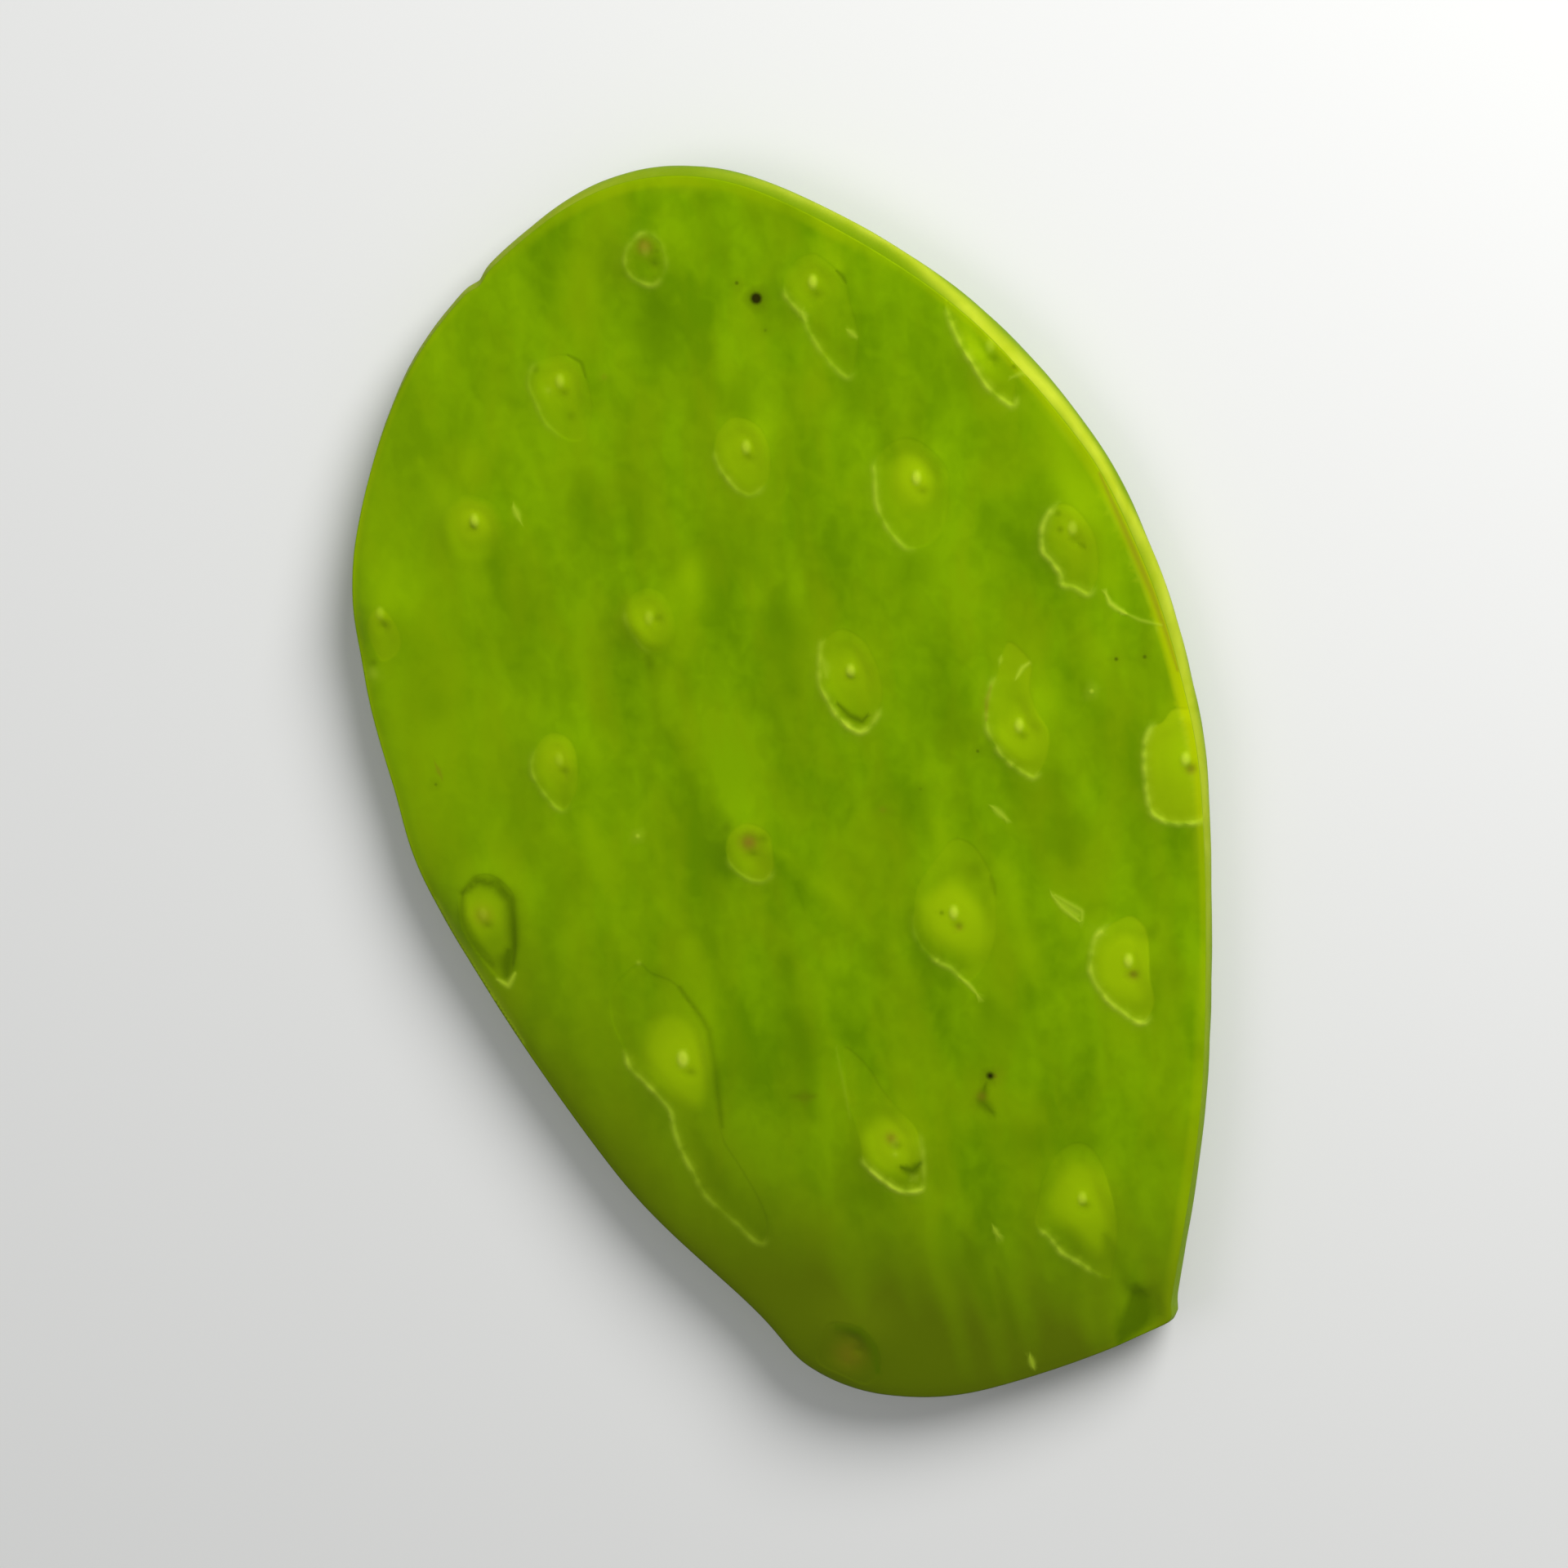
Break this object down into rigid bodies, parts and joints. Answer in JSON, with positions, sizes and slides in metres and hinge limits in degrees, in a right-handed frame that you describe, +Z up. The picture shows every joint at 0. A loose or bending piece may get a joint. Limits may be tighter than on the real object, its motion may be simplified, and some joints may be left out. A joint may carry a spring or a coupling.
{
  "type": "prickly pear cactus pad",
  "caption": "Flat egg-shaped prickly pear pad, cut at its base, cleaned of spines and trimmed round its rim, lying on one face.",
  "frame": {"origin": "on the surface that the pad lies on, below the middle of its outline", "axes": "+Y from the cut base to the tip, along the pad's length; +X across its width; +Z up, through its thickness"},
  "size_m": [0.134, 0.21, 0.0146],
  "materials": {
    "skin": "satin, waxy plant skin over moist flesh"
  },
  "bodies": {
    "root": {"pad": "skin"}
  },
  "joints": []
}
